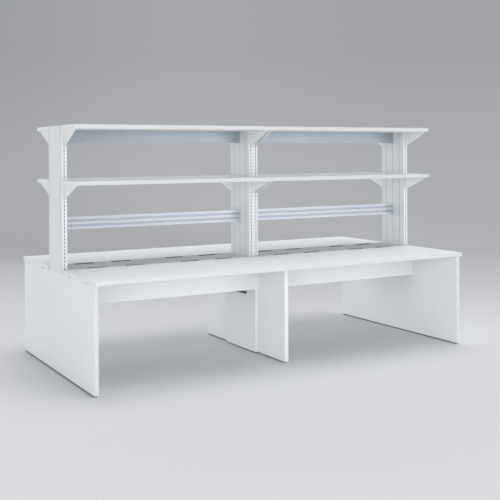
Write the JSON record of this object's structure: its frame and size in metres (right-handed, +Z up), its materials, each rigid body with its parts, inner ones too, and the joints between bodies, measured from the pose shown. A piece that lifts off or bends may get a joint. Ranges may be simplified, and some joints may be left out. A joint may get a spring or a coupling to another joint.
{
  "type": "electronics test bench",
  "caption": "Double-sided white test bench with panel legs, a covered cable trough between the worktops and a through shelf on slotted columns with aluminium rails.",
  "frame": {"origin": "on the floor under the centre of the bench", "axes": "+X along the bench to the right seen from the front, +Y from front to rear, +Z up"},
  "size_m": [3, 1.6, 1.7],
  "materials": {
    "white_board": "white melamine board, satin",
    "white_worktop": "white laminate worktop, satin, soft edge",
    "white_shelf": "white laminate shelf board, satin",
    "white_steel": "white powder coat on folded sheet",
    "grey_cover": "light grey powder coat",
    "grey_steel": "dark grey powder coat",
    "rail_aluminium": "satin anodised extrusion",
    "dark_strip": "dark grey glide strip",
    "foot_steel": "zinc plated",
    "zinc_steel": "zinc plated",
    "dark_plug": "black plastic plugs, satin"
  },
  "bodies": {
    "bench": {"apron_front_left": "white_board", "apron_front_right": "white_board", "apron_rear_left": "white_board", "apron_rear_right": "white_board", "base_strip_centre": "dark_strip", "base_strip_left": "dark_strip", "base_strip_right": "dark_strip", "cable_tray_left": "grey_steel", "cable_tray_right": "grey_steel", "centre_leg_front": "white_board", "centre_leg_rear": "white_board", "chase_front_board": "white_board", "chase_rear_board": "white_board", "chase_side_left": "white_board", "chase_side_right": "white_board", "cleat_screws": "zinc_steel", "column_anchors": "zinc_steel", "column_caps": "white_steel", "column_centre_front": "white_steel", "column_centre_rear": "white_steel", "column_cover_left": "white_steel", "column_cover_right": "white_steel", "column_left_front": "white_steel", "column_left_rear": "white_steel", "column_right_front": "white_steel", "column_right_rear": "white_steel", "end_panel_left": "white_board", "end_panel_right": "white_board", "foot_sleeves": "zinc_steel", "joint_plugs": "dark_plug", "panel_bolts": "white_steel", "rail_end_plates": "white_steel", "rail_lower_left": "rail_aluminium", "rail_lower_right": "rail_aluminium", "rail_screws": "zinc_steel", "rail_upper_left": "rail_aluminium", "rail_upper_right": "rail_aluminium", "shelf_brackets_lower": "white_steel", "shelf_brackets_top": "white_steel", "shelf_top_left": "white_shelf", "shelf_top_right": "white_shelf", "trough_ledges": "grey_steel", "worktop_cleats": "zinc_steel", "worktop_front": "white_worktop", "worktop_rear": "white_worktop"},
    "foot_centre_front": {"foot_centre_front": "foot_steel"},
    "foot_centre_rear": {"foot_centre_rear": "foot_steel"},
    "foot_left_front": {"foot_left_front": "foot_steel"},
    "foot_left_middle": {"foot_left_middle": "foot_steel"},
    "foot_left_rear": {"foot_left_rear": "foot_steel"},
    "foot_right_front": {"foot_right_front": "foot_steel"},
    "foot_right_middle": {"foot_right_middle": "foot_steel"},
    "foot_right_rear": {"foot_right_rear": "foot_steel"},
    "shelf_lower_left": {"shelf_lower_left": "white_shelf"},
    "shelf_lower_right": {"shelf_lower_right": "white_shelf"},
    "trough_cover_left_inner": {"trough_cover_left_inner": "grey_cover"},
    "trough_cover_left_outer": {"trough_cover_left_outer": "grey_cover"},
    "trough_cover_right_inner": {"trough_cover_right_inner": "grey_cover"},
    "trough_cover_right_outer": {"trough_cover_right_outer": "grey_cover"}
  },
  "joints": [
    {"name": "foot_centre_front_screw", "type": "slide", "parent": "bench", "child": "foot_centre_front", "axis": [0, 0, 1], "range_m": [-0.012, 0]},
    {"name": "foot_centre_rear_screw", "type": "slide", "parent": "bench", "child": "foot_centre_rear", "axis": [0, 0, 1], "range_m": [-0.012, 0]},
    {"name": "foot_left_front_screw", "type": "slide", "parent": "bench", "child": "foot_left_front", "axis": [0, 0, 1], "range_m": [-0.012, 0]},
    {"name": "foot_left_middle_screw", "type": "slide", "parent": "bench", "child": "foot_left_middle", "axis": [0, 0, 1], "range_m": [-0.012, 0]},
    {"name": "foot_left_rear_screw", "type": "slide", "parent": "bench", "child": "foot_left_rear", "axis": [0, 0, 1], "range_m": [-0.012, 0]},
    {"name": "foot_right_front_screw", "type": "slide", "parent": "bench", "child": "foot_right_front", "axis": [0, 0, 1], "range_m": [-0.012, 0]},
    {"name": "foot_right_middle_screw", "type": "slide", "parent": "bench", "child": "foot_right_middle", "axis": [0, 0, 1], "range_m": [-0.012, 0]},
    {"name": "foot_right_rear_screw", "type": "slide", "parent": "bench", "child": "foot_right_rear", "axis": [0, 0, 1], "range_m": [-0.012, 0]},
    {"name": "shelf_lower_left_lift", "type": "slide", "parent": "bench", "child": "shelf_lower_left", "axis": [0, 0, 1], "range_m": [0, 0.225]},
    {"name": "shelf_lower_right_lift", "type": "slide", "parent": "bench", "child": "shelf_lower_right", "axis": [0, 0, 1], "range_m": [0, 0.225]},
    {"name": "trough_cover_left_inner_lift", "type": "slide", "parent": "bench", "child": "trough_cover_left_inner", "axis": [0, 0, 1], "range_m": [0, 0.15]},
    {"name": "trough_cover_left_outer_lift", "type": "slide", "parent": "bench", "child": "trough_cover_left_outer", "axis": [0, 0, 1], "range_m": [0, 0.15]},
    {"name": "trough_cover_right_inner_lift", "type": "slide", "parent": "bench", "child": "trough_cover_right_inner", "axis": [0, 0, 1], "range_m": [0, 0.15]},
    {"name": "trough_cover_right_outer_lift", "type": "slide", "parent": "bench", "child": "trough_cover_right_outer", "axis": [0, 0, 1], "range_m": [0, 0.15]}
  ]
}
